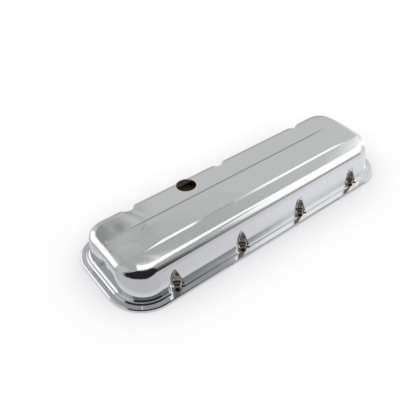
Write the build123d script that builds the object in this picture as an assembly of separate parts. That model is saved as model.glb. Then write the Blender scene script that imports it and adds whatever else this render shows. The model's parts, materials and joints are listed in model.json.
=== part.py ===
from build123d import *
from math import atan2, cos, radians, sin, sqrt, tan
import os

# Stamped steel valve cover for a V8 engine, with the oil baffle spot welded inside it.
# Millimetres, +Z up. The origin is on the middle of the cover's length and width, on the
# plane that the lip's lower edge stands on. +X runs along the cover, -Y is the exhaust side
# with four bolts, and +Y is the intake side with three bolts and the breather hole.

# Overall size
cover_length = 537.0
cover_width = 171.0
cover_height = 61.4
sheet = 1.0

# Rim: a turned down lip, a flat flange, and a low ledge round the foot of the walls
flange_height = 4.8
lip_bevel = 1.4
flange_width = 9.8
ledge_rise = 2.4
ledge_width = 4.0
ledge_draft = 35.0

# Notches that the gasket's tabs hook into, cut up from the lip's lower edge
notch_height = 3.2
tab_notch_width = 14.0
end_notch_y = -3.0
side_notch_x = -96.0
drain_notch_x = 119.5
drain_notch_width = 52.0

# Walls lean in by these drafts, and turn into the roof with one radius
exhaust_draft = 8.2
intake_draft = 2.9
end_draft = 3.0
exhaust_corner_radius = 45.0
intake_corner_radius = 32.0
wall_foot_bevel = 2.0
roof_edge_radius = 16.0

# Roof: a raised panel along the middle, and a strip that falls away on each side of it
panel_rise = 1.0
panel_riser = 3.0
panel_exhaust_edge = -28.8
panel_intake_edge = 17.3
panel_end_inset = 63.5
panel_end_ramp = 30.0
exhaust_strip_fall = 3.0
intake_strip_fall = 6.5
crown_radius = 120.0

# Bolts: scallops in the walls leave a flat pad for each bolt head
bolt_hole_radius = 3.75
exhaust_bolt_count = 4
exhaust_bolt_end = 84.09
exhaust_bolt_inset = 10.8
exhaust_scallop_radius = 12.5
exhaust_scallop_draft = 7.5
exhaust_mouth_radius = 2.0
intake_bolt_count = 3
intake_bolt_end = 92.8
intake_bolt_inset = 17.2
intake_scallop_radius = 13.0
intake_scallop_shift = 1.6
intake_scallop_draft = 1.0
intake_mouth_radius = 2.0

# Breather hole, on a round seat that stays flat where the strip turns down
breather_x = -77.0
breather_radius = 15.9
seat_land = 3.1
seat_edge_bevel = 1.6
seat_wall_gap = 2.3

# Oil baffle: a bent strip that hangs under the breather hole on two welded tabs
baffle_sheet = 0.8
baffle_drop = 12.0
baffle_span = 84.0
baffle_lean = 4.0
baffle_tab = 14.0
baffle_bend_radius = 1.6
baffle_corner_radius = 3.0
baffle_margin = 2.6
baffle_clearance = 2.0

# Places that follow from the sizes above
half_length = cover_length / 2
half_width = cover_width / 2
ledge_height = flange_height + ledge_rise
roof_height = cover_height - panel_rise
wall_inset = flange_width + ledge_width
wall_rise = roof_height - ledge_height
exhaust_bolt_y = exhaust_bolt_inset - half_width
intake_bolt_y = half_width - intake_bolt_inset
intake_wall_y = half_width - wall_inset - wall_rise * tan(radians(intake_draft))
seat_radius = breather_radius + seat_land
breather_y = intake_wall_y - seat_wall_gap - seat_radius
bevel_gain = 2 - sqrt(2)
spare = 5.0


def rounded_outline(x_half, y_low, y_high, low_radius, high_radius, height):
    """Rectangle about x = 0, with one corner radius on its exhaust side and one on its intake side."""
    face = Pos(0, (y_low + y_high) / 2) * Rectangle(2 * x_half, y_high - y_low)
    face = fillet(face.vertices().group_by(Axis.Y)[0], low_radius)
    face = fillet(face.vertices().group_by(Axis.Y)[-1], high_radius)
    return Pos(0, 0, height) * face


def rim_outline(inset, height):
    """The lip's outline, moved in by inset."""
    return rounded_outline(
        half_length - inset, inset - half_width, half_width - inset,
        exhaust_corner_radius + wall_inset - inset, intake_corner_radius + wall_inset - inset, height)


def wall_reach(half_size, draft, skin, height):
    """How far from the middle a leaning wall stands at a height, set back by skin."""
    lean = radians(draft)
    return half_size - wall_inset - (height - ledge_height) * tan(lean) - skin / cos(lean)


def wall_block(skin):
    """The four leaning walls as one solid with rounded corners, tall enough to cut the roof from."""
    levels = (-skin, cover_height)
    ends = [wall_reach(half_length, end_draft, skin, z) for z in levels]
    exhaust = [wall_reach(half_width, exhaust_draft, skin, z) for z in levels]
    intake = [wall_reach(half_width, intake_draft, skin, z) for z in levels]
    low, high = levels
    along = Polyline((-ends[0], low), (ends[0], low), (ends[1], high), (-ends[1], high), close=True)
    across = Polyline((-exhaust[0], low), (intake[0], low), (intake[1], high), (-exhaust[1], high), close=True)
    block = extrude(Plane.XZ * make_face(along), half_width, both=True)
    block = block & extrude(Plane.YZ * make_face(across), half_length, both=True)
    for side, radius in ((0, exhaust_corner_radius), (-1, intake_corner_radius)):
        upright = block.edges().filter_by(lambda edge: edge.bounding_box().size.Z > cover_height / 2)
        block = fillet(upright.group_by(Axis.Y)[side], radius - skin)
    return block


def roof_block(skin):
    """Everything under the roof: flat in the middle, with a falling strip on each side."""
    top = roof_height - skin
    fall_exhaust = radians(exhaust_strip_fall)
    fall_intake = radians(intake_strip_fall)
    ridge_exhaust = panel_exhaust_edge + skin * tan(fall_exhaust / 2)
    ridge_intake = panel_intake_edge - skin * tan(fall_intake / 2)
    ridge = FilletPolyline(
        (-half_width, top - (ridge_exhaust + half_width) * tan(fall_exhaust)),
        (ridge_exhaust, top),
        (ridge_intake, top),
        (half_width, top - (half_width - ridge_intake) * tan(fall_intake)),
        radius=crown_radius)
    under = Polyline(ridge @ 1, (half_width, -spare), (-half_width, -spare), ridge @ 0)
    return extrude(Plane.YZ * make_face([ridge, under]), half_length, both=True)


def strip_plane(skin):
    """Plane on the intake strip at the breather hole, with its Z square to the strip."""
    fall = radians(intake_strip_fall)
    height = roof_height - (breather_y - panel_intake_edge) * tan(fall)
    plane = Plane(origin=(breather_x, breather_y, height), x_dir=(1, 0, 0), z_dir=(0, sin(fall), cos(fall)))
    return plane.offset(-skin)


def breather_seat(skin):
    """Round boss, level with the strip, that carries it out over the roof's edge."""
    boss = Cylinder(seat_radius - skin, roof_edge_radius, align=(Align.CENTER, Align.CENTER, Align.MAX))
    boss = chamfer(boss.edges().group_by(Axis.Z)[-1], seat_edge_bevel - skin * bevel_gain)
    return strip_plane(skin) * boss


def raised_panel(skin):
    """The roof's panel: risers along its sides, and ramps that bring its ends down to nothing."""
    ease = skin * tan(atan2(panel_rise, panel_riser) / 2)
    layers = []
    for depth in (0, 2):
        x_half = half_length - panel_end_inset + (depth - 1) * panel_end_ramp - ease
        y_low = panel_exhaust_edge - (depth - 0.5) * panel_riser + ease
        y_high = panel_intake_edge + (depth - 0.5) * panel_riser - ease
        layer = Pos(0, (y_low + y_high) / 2) * Rectangle(2 * x_half, y_high - y_low)
        layers.append(Pos(0, 0, cover_height - skin - depth * panel_rise) * layer)
    return loft(layers, ruled=True)


def bolt_places(count, end):
    """X of each bolt in an even row that stops one end distance short of the cover's ends."""
    reach = half_length - end
    return [reach * (2 * number / (count - 1) - 1) for number in range(count)]


def slot(x, y, side, radius):
    """Round ended slot in plan, open outward past the rim."""
    return Pos(x, y) * Circle(radius) + Pos(x, y + side * wall_inset) * Rectangle(2 * radius, 2 * wall_inset)


def scallop_slots(row, skin, depth):
    """Plan of each scallop in a row, at a depth below the ledge's top that widens it by its draft."""
    if row == "exhaust":
        radius = exhaust_scallop_radius + skin + depth * tan(radians(exhaust_scallop_draft))
        places = bolt_places(exhaust_bolt_count, exhaust_bolt_end)
        return [slot(x, exhaust_bolt_y, -1, radius) for x in places]
    radius = intake_scallop_radius + skin + depth * tan(radians(intake_scallop_draft))
    places = bolt_places(intake_bolt_count, intake_bolt_end)
    return [slot(x, intake_bolt_y - intake_scallop_shift, 1, radius) for x in places]


def dome(skin):
    """Walls and roof as one solid, with the scallops pressed in."""
    body = wall_block(skin) & roof_block(skin)
    roof = ShapeList(face for face in body.faces() if face.normal_at().Z > cos(radians(45)))
    edges = ShapeList(edge for face in roof for edge in face.edges())
    border = ShapeList(edge for edge in edges if sum(edge.is_same(other) for other in edges) == 1)
    body = fillet(border, roof_edge_radius - skin)
    body = body + breather_seat(skin) + raised_panel(skin)
    rows = [("exhaust", exhaust_scallop_draft, exhaust_mouth_radius),
            ("intake", intake_scallop_draft, intake_mouth_radius)]
    for row, draft, mouth_radius in rows:
        tall = cover_height + 2 * spare
        feet = [Pos(0, 0, -spare) * foot for foot in scallop_slots(row, skin, ledge_height + spare)]
        tools = [extrude(foot, tall, taper=draft) for foot in feet]
        pressed = body - tools
        mouths = new_edges(body, *tools, combined=pressed) if skin == 0 else []
        body = fillet(mouths, mouth_radius) if mouths else pressed
    return body


def ledge_step(skin):
    """Step round the foot of the walls and scallops; its side leans in by the ledge's draft."""
    plan = rounded_outline(
        wall_reach(half_length, end_draft, skin, ledge_height),
        -wall_reach(half_width, exhaust_draft, skin, ledge_height),
        wall_reach(half_width, intake_draft, skin, ledge_height),
        exhaust_corner_radius - skin, intake_corner_radius - skin, ledge_height)
    for row in ("exhaust", "intake"):
        plan = plan - [Pos(0, 0, ledge_height) * cut for cut in scallop_slots(row, skin, 0)]
    lean = radians(ledge_draft)
    top = offset(plan, ledge_width + skin * (1 + tan(lean) - 1 / cos(lean)))
    return extrude(Pos(0, 0, -skin) * top, ledge_rise + sheet, dir=(0, 0, -1), taper=-ledge_draft)


def pressed_form(skin):
    """The pressing as a full solid; skin sets every surface back by that much."""
    rim = extrude(rim_outline(skin, -skin), flange_height)
    rim = chamfer(rim.edges().group_by(Axis.Z)[-1], lip_bevel - skin * bevel_gain)
    stepped = rim + ledge_step(skin)
    raised = dome(skin)
    body = stepped + raised
    outside = new_edges(stepped, raised, combined=body) if skin == 0 else []
    return chamfer(outside, wall_foot_bevel) if outside else body


def lip_notches():
    """Blocks that cut the gasket's notches out of the lip."""
    low = Pos(0, 0, notch_height / 2)
    tall = notch_height
    deep = 4 * sheet
    sides = [(side_notch_x, tab_notch_width), (drain_notch_x, drain_notch_width)]
    ends = (-half_length, half_length)
    blocks = [low * Pos(x, -half_width) * Box(width, deep, tall) for x, width in sides]
    blocks += [low * Pos(x, end_notch_y) * Box(deep, tab_notch_width, tall) for x in ends]
    return blocks


def cover_shell():
    """The cover: the pressing at its outer faces, less the pressing one sheet further in."""
    shell = pressed_form(0) - pressed_form(sheet)
    shell = shell - lip_notches()
    bolts = [(x, exhaust_bolt_y) for x in bolt_places(exhaust_bolt_count, exhaust_bolt_end)]
    bolts += [(x, intake_bolt_y) for x in bolt_places(intake_bolt_count, intake_bolt_end)]
    holes = [Pos(x, y, flange_height) * Cylinder(bolt_hole_radius, 4 * sheet) for x, y in bolts]
    breather = strip_plane(0) * Cylinder(breather_radius, 4 * sheet)
    return shell - [*holes, breather]


def strip_end():
    """Y where the flat of the intake strip ends and the roof's edge begins to turn down."""
    fall = radians(intake_strip_fall)
    drop = (intake_wall_y - panel_intake_edge) * tan(fall)
    corner = intake_wall_y + drop * tan(radians(intake_draft))
    turn = radians(90 - intake_draft) - fall
    return corner - roof_edge_radius * tan(turn / 2) * cos(fall)


def oil_baffle():
    """Bent strip under the breather hole; its tabs lie flat against the inside of the strip."""
    half = baffle_span / 2
    floor = half - baffle_lean
    trace = FilletPolyline(
        (-half - baffle_tab, 0), (-half, 0), (-floor, -baffle_drop),
        (floor, -baffle_drop), (half, 0), (half + baffle_tab, 0),
        radius=baffle_bend_radius)
    section = make_face(offset(trace, baffle_sheet, side=Side.RIGHT))
    inner = breather_radius + baffle_margin
    outer = intake_wall_y - sheet - baffle_clearance - breather_y
    tab_edge = strip_end() - baffle_clearance - breather_y
    strip = extrude(Plane.XZ.offset(-outer) * section, inner + outer)
    floor_plan = Pos(0, (outer - inner) / 2) * Rectangle(2 * (floor - baffle_bend_radius), inner + outer)
    tab_plan = Pos(0, (tab_edge - inner) / 2) * Rectangle(2 * (half + baffle_tab), inner + tab_edge)
    plan = floor_plan + tab_plan
    plan = fillet(plan.vertices(), baffle_corner_radius)
    deep = baffle_drop + 2 * baffle_sheet
    return strip_plane(sheet) * (strip & extrude(Pos(0, 0, -deep) * plan, deep + baffle_sheet))


os.makedirs("parts", exist_ok=True)
export_step(cover_shell(), "parts/cover_shell.step")
export_step(oil_baffle(), "parts/oil_baffle.step")
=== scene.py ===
import json
from math import cos, radians, sin

import bpy
from mathutils import Matrix, Vector


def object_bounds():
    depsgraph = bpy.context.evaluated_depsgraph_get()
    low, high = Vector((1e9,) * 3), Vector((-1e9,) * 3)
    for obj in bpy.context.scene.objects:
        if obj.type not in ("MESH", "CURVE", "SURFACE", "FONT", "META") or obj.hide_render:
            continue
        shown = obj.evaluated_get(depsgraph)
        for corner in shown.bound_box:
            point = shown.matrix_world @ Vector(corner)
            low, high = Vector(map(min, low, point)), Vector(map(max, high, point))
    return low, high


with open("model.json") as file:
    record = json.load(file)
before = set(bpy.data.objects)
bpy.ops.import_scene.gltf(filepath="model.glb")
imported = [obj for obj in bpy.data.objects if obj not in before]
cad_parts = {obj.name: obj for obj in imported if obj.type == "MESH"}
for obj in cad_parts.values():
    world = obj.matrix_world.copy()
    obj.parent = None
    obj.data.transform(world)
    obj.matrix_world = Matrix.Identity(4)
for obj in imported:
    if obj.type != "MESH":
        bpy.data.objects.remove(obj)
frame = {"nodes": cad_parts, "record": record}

cad_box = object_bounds()

# Camera: place and reach in metres, turns in radians, lens and sensor in millimetres
CAMERA_PLACE = Vector((-0.4525, -0.4548, 0.6172))
CAMERA_YAW = 0.6769
CAMERA_PITCH = 0.7562
CAMERA_ROLL = 0.0203
CAMERA_REACH = 20.0
CAMERA_LENS = 48.32
SENSOR_WIDTH = 36.0

# What the chrome mirrors, by direction. Azimuth is in degrees from +Y towards +X, height in degrees
# over the horizon. A row has azimuth from and to, height from and to, level and soft edge, and covers
# the rows before it.
ROOM_LEVEL = 0.52
SOFTBOX_LEVEL = 1.42
ROOM = (
    (-45, 75, -60, 47, 0.70, 8),              # pale far wall
    (-32, 23, 29, 46, 0.36, 5),               # doorway in it
    (5, 52, 5, 18, 0.38, 3),                  # skirting line
    (60, 136, -75, 32, 0.93, 5),              # floor and wall on the right
    (75, 91, -30, 40, 1.40, 4),               # edge of the right softbox, down to the floor
    (112, 160, -75, 14, 0.78, 9),             # floor in front
    (100, 142, -75, 14, 0.95, 9),             # its brighter part towards the right
    (155, 200, -75, 4, 0.66, 7),              # floor beside the camera
    (196, 300, -75, -20, 0.64, 4),            # floor on the camera's left
    (128, 160, 11, 27, 0.45, 4),              # low table in front of the right softbox
    (62, 122, 31, 58, SOFTBOX_LEVEL, 3),      # right softbox, in three steps at its far end
    (110, 131, 31, 53, SOFTBOX_LEVEL, 4),
    (120, 139, 31, 44, SOFTBOX_LEVEL, 5),
    (-60, -6, -12, 30, SOFTBOX_LEVEL, 4),     # left reflector
    (-98, -64, -12, 58, 0.66, 5),             # left wall
)

# Dark room behind the camera: azimuth from and to and soft edge, its level, and what is added to the
# level where one part of the cover mirrors another. Its top and its foot are level up to an azimuth
# and fall from there: height, that azimuth, slope, and for the foot its lowest height.
DARK_ROOM = (147, 267, 5)
DARK_LEVEL = 0.025
DARK_TWICE = 0.20
DARK_TOP = (66, 232, -1.5)
DARK_FOOT = (8, 165, -0.9, -20)

# Softbox overhead, on a level plane one unit up: its turn in degrees, the sides, near and far end
# and soft edge in units, how far its ends lean, and the rays' rise at which it starts and is whole
OVERHEAD_TURN = 38.8
OVERHEAD_SIDES = (-0.09, 0.37)
OVERHEAD_ENDS = (-0.30, 0.73)
OVERHEAD_SOFT = 0.015
OVERHEAD_LEAN = 0.55
OVERHEAD_RISE = (0.5, 0.6)
LEAST_RISE = 0.1

# The room's tint over the first height, and the floor's under the second
ROOM_TINT = (1.0, 0.985, 0.955, 1.0)
FLOOR_TINT = (1.0, 0.98, 1.0, 1.0)
TINT_HEIGHTS = (12.0, -2.0)
WHITE = (1.0, 1.0, 1.0, 1.0)

# Paper: half its width, the reach and samples of its painted shade, and its colours from deepest painted
# shade to open paper
PAPER_REACH = 3.0
SHADE_REACH = 0.10
SHADE_SAMPLES = 16
SHADE_COLOURS = (
    (0.0, (0.01, 0.01, 0.012, 1.0)),
    (0.5, (0.58, 0.58, 0.62, 1.0)),
    (0.97, WHITE),
)

# Paper near the rim's outline, which has this corner radius. By distance past the outline: where the paper
# goes from painted shade under the cover to open, and where it gives way to the room in mirrors. The level
# of painted shade on paper under the cover, and what is added to it in mirrors.
RIM_CORNER = 0.059
PAPER_OPENS = (-0.006, -0.001)
PAPER_CLEARS = (0.004, 0.020)
COVERED_SHADE_LEVEL = 0.02
COVERED_SHADE_MIRRORED = 0.22

# Chrome: the sheet's waves, strongest near the short end, and the haze in its plating
CHROME_COLOUR = (0.70, 0.72, 0.745, 1.0)
CHROME_ROUGHNESS = (0.02, 0.07)
WAVE_SCALE = 22.0
WAVE_DISTORTION = 0.8
WAVE_DEPTH = 0.002
WAVES_ALONG = (-0.12, -0.20)
WAVES_ACROSS = (-0.016, 0.0)
WAVES_ADDED = 0.85
WAVES_LEAST = 0.06
HAZE_SCALE = 60.0

# Warm tint at the foot of each scallop, partly thin plating's colour and partly a painted warm reflection:
# distance from the bolt's axis at which it starts and is whole, the same for its height, and its noise
STAIN_AND_REFLECTION_COLOUR = (0.72, 0.60, 0.48, 1.0)
STAIN_AND_REFLECTION_REACH = (0.0125, 0.007)
STAIN_AND_REFLECTION_HEIGHT = (0.020, 0.008)
STAIN_AND_REFLECTION_SCALE = 120.0
STAIN_AND_REFLECTION_NOISE = (0.35, 0.60)

# Bare edge round the breather hole: its distance from the hole at which it starts and is whole
BARE_EDGE_COLOUR = (0.92, 0.76, 0.50, 1.0)
BARE_EDGE_WIDTH = (0.0016, 0.0010)
BARE_EDGE_ROUGHNESS = 0.3

# Steel of the baffle: its dark colours are partly oil and partly painted shade inside the cover
OIL_SCALE = 70.0
OIL_AND_SHADE_COLOURS = ((0.0, (0.05, 0.045, 0.04, 1.0)), (1.0, (0.16, 0.15, 0.14, 1.0)))
OIL_METALLIC = 0.7
OIL_ROUGHNESS = 0.45


def node_tree(holder):
    """An empty node tree for a material or the world."""
    holder.use_nodes = True
    holder.node_tree.nodes.clear()
    return holder.node_tree


def feed(tree, socket, value):
    """Links a socket to another node's output, or sets it to a value."""
    if isinstance(value, bpy.types.NodeSocket):
        tree.links.new(value, socket)
    else:
        socket.default_value = value


def node(tree, kind, **inputs):
    """Adds a node and feeds its inputs by name, or by number where they are called _0, _1 and so on."""
    made = tree.nodes.new(kind)
    for name, value in inputs.items():
        key = int(name[1:]) if name[1:].isdigit() else name.replace("_", " ")
        feed(tree, made.inputs[key], value)
    return made


def calc(tree, operation, *values):
    """A math node's result."""
    made = tree.nodes.new("ShaderNodeMath")
    made.operation = operation
    for socket, value in zip(made.inputs, values):
        feed(tree, socket, value)
    return made.outputs[0]


def product(tree, first, *others):
    """All the values multiplied."""
    for other in others:
        first = calc(tree, "MULTIPLY", first, other)
    return first


def step(tree, value, low, high):
    """Rises smoothly from 0 to 1 as value goes from low to high."""
    made = node(tree, "ShaderNodeMapRange", Value=value, From_Min=low, From_Max=high)
    made.interpolation_type = "SMOOTHSTEP"
    return made.outputs[0]


def between(tree, value, limits, soft):
    """1 where value is between two limits, with soft edges."""
    low, high = limits
    over = step(tree, value, low - soft, low + soft)
    under = step(tree, value, high + soft, high - soft)
    return product(tree, over, under)


def falling(tree, across, base, start, slope):
    """A line that is level at the base up to start, and falls from there."""
    line = calc(tree, "MULTIPLY_ADD", calc(tree, "SUBTRACT", across, start), slope, base)
    return calc(tree, "MINIMUM", line, base)


def cover_level(tree, level, over, mask):
    """Goes from level to over where the mask is 1."""
    gain = product(tree, mask, calc(tree, "SUBTRACT", over, level))
    return calc(tree, "ADD", level, gain)


def blend_colour(tree, mask, under, over):
    """Goes from one colour to another where the mask is 1."""
    mix = tree.nodes.new("ShaderNodeMix")
    mix.data_type = "RGBA"
    feed(tree, mix.inputs["Factor"], mask)
    feed(tree, mix.inputs[6], under)
    feed(tree, mix.inputs[7], over)
    return mix.outputs[2]


def colour_ramp(tree, value, stops):
    """Goes through the stops' colours as value goes through their places."""
    made = node(tree, "ShaderNodeValToRGB", Fac=value)
    elements = made.color_ramp.elements
    while len(elements) < len(stops):
        elements.new(1.0)
    for element, (place, colour) in zip(elements, stops):
        element.position = place
        element.color = colour
    return made.outputs[0]


def object_place(tree):
    """A point's place in the object's own frame, as a vector and as its three coordinates."""
    place = tree.nodes.new("ShaderNodeTexCoord").outputs["Object"]
    return place, node(tree, "ShaderNodeSeparateXYZ", Vector=place).outputs


def axis_distance(tree, place, centre, axis):
    """How far a point is from an axis through centre."""
    off = node(tree, "ShaderNodeVectorMath", _0=place, _1=centre)
    off.operation = "SUBTRACT"
    turned = node(tree, "ShaderNodeVectorMath", _0=off.outputs[0], _1=axis)
    turned.operation = "CROSS_PRODUCT"
    length = node(tree, "ShaderNodeVectorMath", _0=turned.outputs[0])
    length.operation = "LENGTH"
    return length.outputs["Value"]


def make_camera():
    """The camera that the picture is framed with."""
    data = bpy.data.cameras.new("camera")
    data.sensor_width = SENSOR_WIDTH
    data.lens = CAMERA_LENS
    data.clip_end = CAMERA_REACH
    ahead = Vector((
        sin(CAMERA_YAW) * cos(CAMERA_PITCH), cos(CAMERA_YAW) * cos(CAMERA_PITCH), -sin(CAMERA_PITCH)))
    level = Vector((cos(CAMERA_YAW), -sin(CAMERA_YAW), 0.0))
    upright = level.cross(ahead)
    across = cos(CAMERA_ROLL) * level + sin(CAMERA_ROLL) * upright
    above = cos(CAMERA_ROLL) * upright - sin(CAMERA_ROLL) * level
    turn = Matrix((across, above, -ahead)).transposed().to_4x4()
    camera = bpy.data.objects.new("camera", data)
    camera.matrix_world = Matrix.Translation(CAMERA_PLACE) @ turn
    bpy.context.scene.collection.objects.link(camera)
    bpy.context.scene.camera = camera


def dark_room(tree, around, height):
    """1 inside the dark room behind the camera."""
    west, east, soft = DARK_ROOM
    top = falling(tree, around, *DARK_TOP)
    base, start, slope, least = DARK_FOOT
    foot = calc(tree, "MAXIMUM", falling(tree, around, base, start, slope), least)
    return product(
        tree,
        step(tree, around, west - soft, west + 3 * soft),
        step(tree, around, east + soft, east - soft),
        step(tree, calc(tree, "SUBTRACT", height, foot), -soft, soft),
        step(tree, calc(tree, "SUBTRACT", top, height), -soft, soft))


def overhead_softbox(tree, x, y, z):
    """1 inside the softbox overhead, by where a ray meets the plane one unit up."""
    rise = calc(tree, "MAXIMUM", z, LEAST_RISE)
    flat_x = calc(tree, "DIVIDE", x, rise)
    flat_y = calc(tree, "DIVIDE", y, rise)
    c, s = cos(radians(OVERHEAD_TURN)), sin(radians(OVERHEAD_TURN))
    aside = calc(tree, "SUBTRACT", product(tree, flat_x, c), product(tree, flat_y, s))
    ahead = calc(tree, "ADD", product(tree, flat_x, s), product(tree, flat_y, c))
    ahead = calc(tree, "MULTIPLY_ADD", aside, -OVERHEAD_LEAN, ahead)
    return product(
        tree,
        between(tree, aside, OVERHEAD_SIDES, OVERHEAD_SOFT),
        between(tree, ahead, OVERHEAD_ENDS, OVERHEAD_SOFT),
        step(tree, z, *OVERHEAD_RISE))


def make_world():
    """White to the camera. The chrome mirrors a studio: softboxes, walls, floor and a dark room."""
    world = bpy.data.worlds.new("studio")
    bpy.context.scene.world = world
    tree = node_tree(world)
    light_path = tree.nodes.new("ShaderNodeLightPath").outputs
    ray = tree.nodes.new("ShaderNodeTexCoord").outputs["Generated"]
    x, y, z = node(tree, "ShaderNodeSeparateXYZ", Vector=ray).outputs
    height = calc(tree, "DEGREES", calc(tree, "ARCSINE", z))
    azimuth = calc(tree, "DEGREES", calc(tree, "ARCTAN2", x, y))
    # Stretches that pass behind the camera count on from 180 degrees
    around = calc(tree, "WRAP", azimuth, 360.0, 0.0)
    level = ROOM_LEVEL
    for west, east, low, high, over, soft in ROOM:
        sideways = between(tree, around if east > 180 else azimuth, (west, east), soft)
        upwards = between(tree, height, (low, high), soft)
        level = cover_level(tree, level, over, product(tree, sideways, upwards))
    twice = calc(tree, "GREATER_THAN", light_path["Glossy Depth"], 1.5)
    over = calc(tree, "MULTIPLY_ADD", twice, DARK_TWICE, DARK_LEVEL)
    level = cover_level(tree, level, over, dark_room(tree, around, height))
    level = cover_level(tree, level, SOFTBOX_LEVEL, overhead_softbox(tree, x, y, z))
    tint = blend_colour(tree, step(tree, height, *TINT_HEIGHTS), ROOM_TINT, FLOOR_TINT)
    room = node(tree, "ShaderNodeBackground", Color=tint, Strength=level)
    white = node(tree, "ShaderNodeBackground", Color=WHITE, Strength=1.0)
    seen = light_path["Is Camera Ray"]
    mixed = node(tree, "ShaderNodeMixShader", _0=seen, _1=room.outputs[0], _2=white.outputs[0])
    node(tree, "ShaderNodeOutputWorld", Surface=mixed.outputs[0])


def past_rim(tree, x, y):
    """Distance past the rim's rounded outline, below zero under the cover."""
    past = []
    for place, half_size in zip((x, y), cad_box[1]):
        side = calc(tree, "SUBTRACT", calc(tree, "ABSOLUTE", place), half_size - RIM_CORNER)
        past.append(calc(tree, "POWER", calc(tree, "MAXIMUM", side, 0.0), 2.0))
    return calc(tree, "SUBTRACT", calc(tree, "SQRT", calc(tree, "ADD", *past)), RIM_CORNER)


def floor_material():
    """White paper with painted shadow: it darkens under and close to the cover, and mirrors show the
    room's floor.
    """
    material = bpy.data.materials.new("paper")
    tree = node_tree(material)
    light_path = tree.nodes.new("ShaderNodeLightPath").outputs
    glossy = light_path["Is Glossy Ray"]
    _, (x, y, _) = object_place(tree)
    past = past_rim(tree, x, y)
    # Painted shadow: the paper's glow follows ambient occlusion, darkest under the cover
    near = node(tree, "ShaderNodeAmbientOcclusion", Distance=SHADE_REACH)
    near.samples = SHADE_SAMPLES
    shade = colour_ramp(tree, near.outputs["AO"], SHADE_COLOURS)
    # Painted shade on the paper under the cover, raised where mirrors show it
    covered_shade = calc(tree, "MULTIPLY_ADD", glossy, COVERED_SHADE_MIRRORED, COVERED_SHADE_LEVEL)
    strength = calc(tree, "MAXIMUM", step(tree, past, *PAPER_OPENS), covered_shade)
    paper = node(tree, "ShaderNodeEmission", Color=shade, Strength=strength)
    # From below, the paper is clear, so that the cover's inside shows
    below = tree.nodes.new("ShaderNodeNewGeometry").outputs["Backfacing"]
    through = calc(
        tree, "MAXIMUM",
        product(tree, glossy, step(tree, past, *PAPER_CLEARS)),
        product(tree, below, light_path["Is Camera Ray"]))
    clear = tree.nodes.new("ShaderNodeBsdfTransparent")
    mixed = node(tree, "ShaderNodeMixShader", _0=through, _1=paper.outputs[0], _2=clear.outputs[0])
    node(tree, "ShaderNodeOutputMaterial", Surface=mixed.outputs[0])
    return material


def make_floor():
    """A wide sheet of paper that the cover stands on."""
    mesh = bpy.data.meshes.new("floor")
    corners = [(x * PAPER_REACH, y * PAPER_REACH, 0.0) for x, y in ((-1, -1), (1, -1), (1, 1), (-1, 1))]
    mesh.from_pydata(corners, [], [(0, 1, 2, 3)])
    floor = bpy.data.objects.new("floor", mesh)
    floor.data.materials.append(floor_material())
    bpy.context.scene.collection.objects.link(floor)


def bolt_feet():
    """Where the bolts' axes meet the floor. The intake row has one more bolt midway."""
    feet = []
    for mount in frame["record"]["mounts"]:
        if mount["kind"] == "bolt_pattern":
            reach = mount["dims"]["spacing_x_mm"] / 2000
            middle = [0.0] if mount["name"].startswith("intake") else []
            feet += [(x, mount["pos_m"][1], 0.0) for x in [-reach, *middle, reach]]
    return feet


def stain_and_reflection_mask(tree, place, height):
    """1 at the foot of each scallop, where thin plating's warm colour and a painted warm reflection are
    laid in.
    """
    stain_and_reflection = 0.0
    for foot in bolt_feet():
        near = step(tree, axis_distance(tree, place, foot, (0.0, 0.0, 1.0)), *STAIN_AND_REFLECTION_REACH)
        stain_and_reflection = calc(tree, "MAXIMUM", stain_and_reflection, near)
    blots = node(tree, "ShaderNodeTexNoise", Vector=place, Scale=STAIN_AND_REFLECTION_SCALE, Detail=2.0)
    return product(
        tree, stain_and_reflection, step(tree, blots.outputs[0], *STAIN_AND_REFLECTION_NOISE), step(tree, height, *STAIN_AND_REFLECTION_HEIGHT))


def bare_mask(tree, place):
    """1 at the breather hole's punched edge, which is bare."""
    breather = next(mount for mount in frame["record"]["mounts"] if mount["name"] == "breather_hole")
    far = axis_distance(tree, place, breather["pos_m"], breather["axis"])
    hole_radius = breather["dims"]["r_mm"] / 1000
    return step(tree, far, *(hole_radius + width for width in BARE_EDGE_WIDTH))


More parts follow.
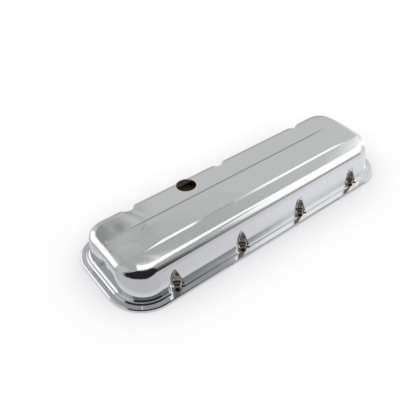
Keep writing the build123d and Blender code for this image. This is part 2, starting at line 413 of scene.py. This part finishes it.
def chrome_material():
    """Bright chrome over stamped steel, with the faint waviness of the pressing under it."""
    material = bpy.data.materials.new("chrome_plate")
    tree = node_tree(material)
    place, (along, across, height) = object_place(tree)
    waves = node(
        tree, "ShaderNodeTexNoise", Vector=place, Scale=WAVE_SCALE, Detail=1.0, Distortion=WAVE_DISTORTION)
    rippled = product(tree, step(tree, along, *WAVES_ALONG), step(tree, across, *WAVES_ACROSS))
    ripple = calc(tree, "MULTIPLY_ADD", rippled, WAVES_ADDED, WAVES_LEAST)
    dents = node(tree, "ShaderNodeBump", Strength=ripple, Distance=WAVE_DEPTH, Height=waves.outputs[0])
    haze = node(tree, "ShaderNodeTexNoise", Vector=place, Scale=HAZE_SCALE, Detail=3.0)
    least, most = CHROME_ROUGHNESS
    rough = node(tree, "ShaderNodeMapRange", Value=haze.outputs[0], To_Min=least, To_Max=most)
    bare = bare_mask(tree, place)
    # Warm tint at the scallops' feet: thin plating's colour in part, a painted warm reflection in part
    colour = blend_colour(tree, stain_and_reflection_mask(tree, place, height), CHROME_COLOUR, STAIN_AND_REFLECTION_COLOUR)
    colour = blend_colour(tree, bare, colour, BARE_EDGE_COLOUR)
    rough = calc(tree, "MULTIPLY_ADD", bare, BARE_EDGE_ROUGHNESS, rough.outputs[0])
    skin = node(
        tree, "ShaderNodeBsdfPrincipled",
        Base_Color=colour, Metallic=1.0, Roughness=rough, Normal=dents.outputs[0])
    node(tree, "ShaderNodeOutputMaterial", Surface=skin.outputs[0])
    return material


def baffle_material():
    """Plain steel that oil has darkened, made darker still with painted shade inside the cover."""
    material = bpy.data.materials.new("oiled_steel_and_shade")
    tree = node_tree(material)
    place, _ = object_place(tree)
    oil = node(tree, "ShaderNodeTexNoise", Vector=place, Scale=OIL_SCALE, Detail=4.0)
    # Dark colours: oil in part, painted shade in part, so the breather hole reads dark
    colour = colour_ramp(tree, oil.outputs[0], OIL_AND_SHADE_COLOURS)
    skin = node(
        tree, "ShaderNodeBsdfPrincipled",
        Base_Color=colour, Metallic=OIL_METALLIC, Roughness=OIL_ROUGHNESS)
    node(tree, "ShaderNodeOutputMaterial", Surface=skin.outputs[0])
    return material


def dress(name, material):
    """Gives a CAD node its material."""
    mesh = frame["nodes"][name].data
    mesh.materials.clear()
    mesh.materials.append(material)


make_camera()
make_world()
make_floor()
dress("cover_shell", chrome_material())
dress("oil_baffle", baffle_material())

scene = bpy.context.scene
scene.view_settings.view_transform = "Standard"
